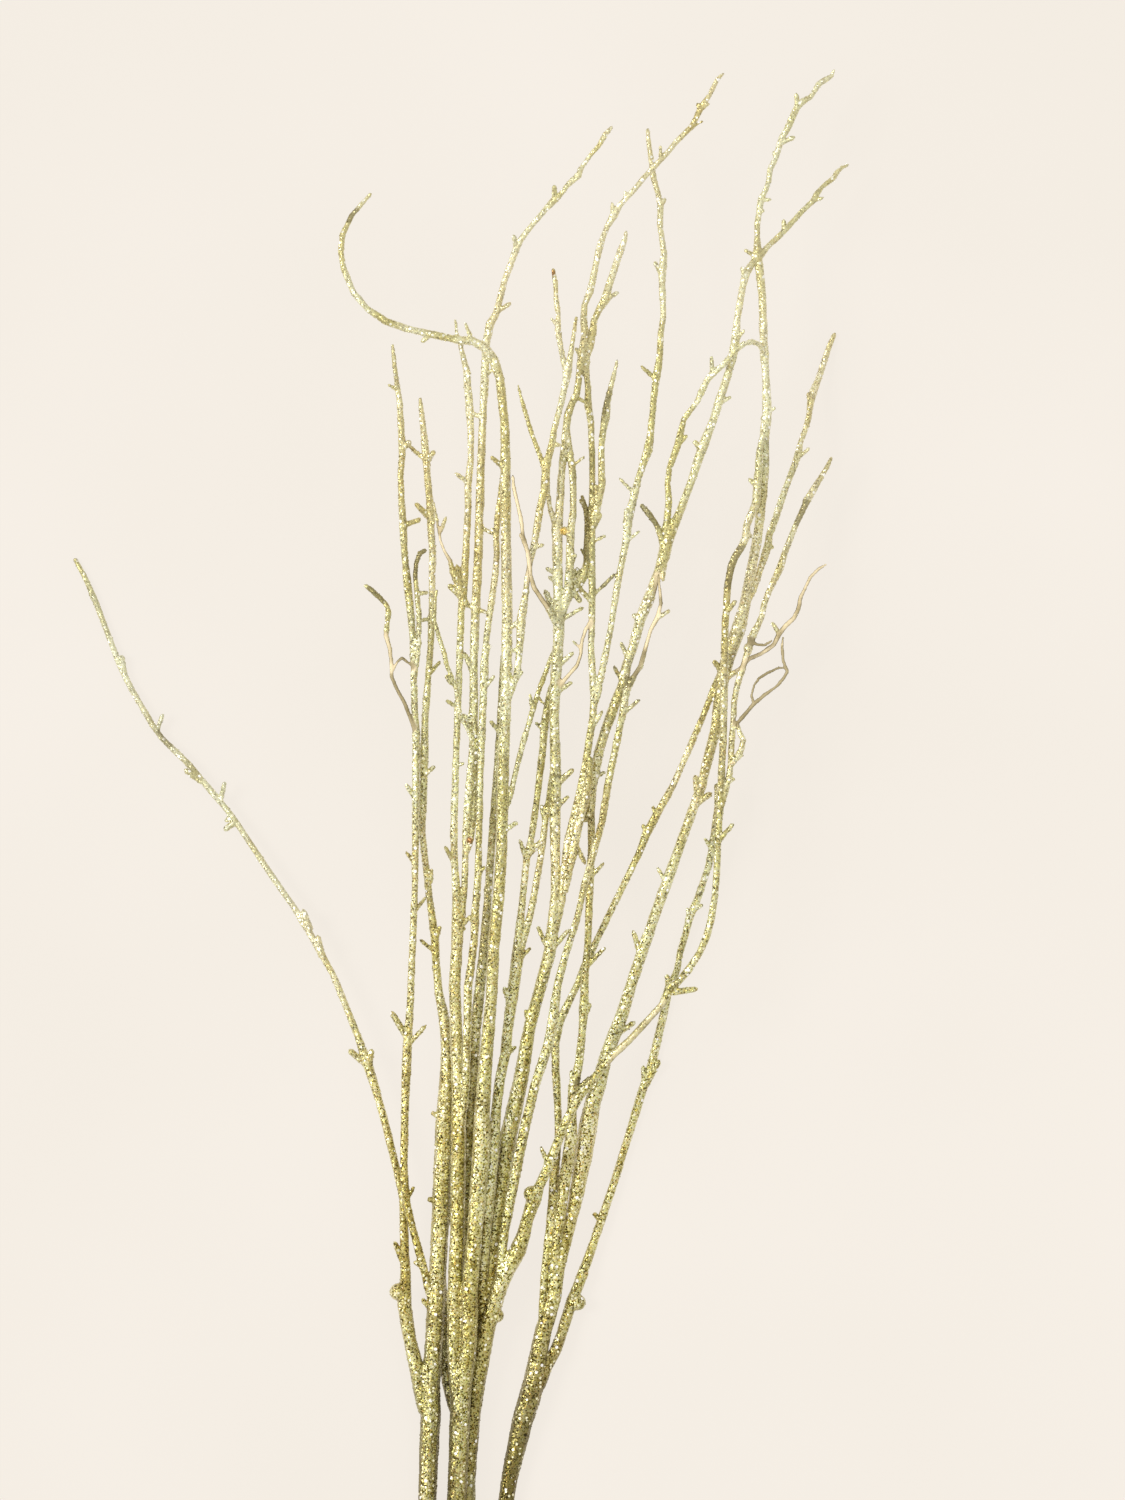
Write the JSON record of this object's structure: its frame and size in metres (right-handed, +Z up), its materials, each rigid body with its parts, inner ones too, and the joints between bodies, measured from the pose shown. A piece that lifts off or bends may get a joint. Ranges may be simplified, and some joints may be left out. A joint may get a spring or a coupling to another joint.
{
  "type": "curly willow branch spray",
  "caption": "Spray of dried curly willow, forked branches gathered at their cut ends, with curling tips, bare twigs and buds, coated in gold glitter and laid down flat.",
  "frame": {"origin": "bottom centre of the bounding box: below the middle of the spray, on the surface that it lies on", "axes": "+Y from the cut ends along the stems to the tips, +X to the right seen from above with the tips up, +Z up"},
  "size_m": [0.4666, 1.0004, 0.0856],
  "materials": {
    "left_bark": "bark coated in gold glitter",
    "middle_front_bark": "bark coated in light gold glitter",
    "middle_rear_bark": "bark coated in dark gold glitter",
    "right_bark": "bark coated in gold glitter"
  },
  "bodies": {
    "root": {"left_branch": "left_bark", "middle_front_branch": "middle_front_bark", "middle_rear_branch": "middle_rear_bark", "right_branch": "right_bark"}
  },
  "joints": []
}
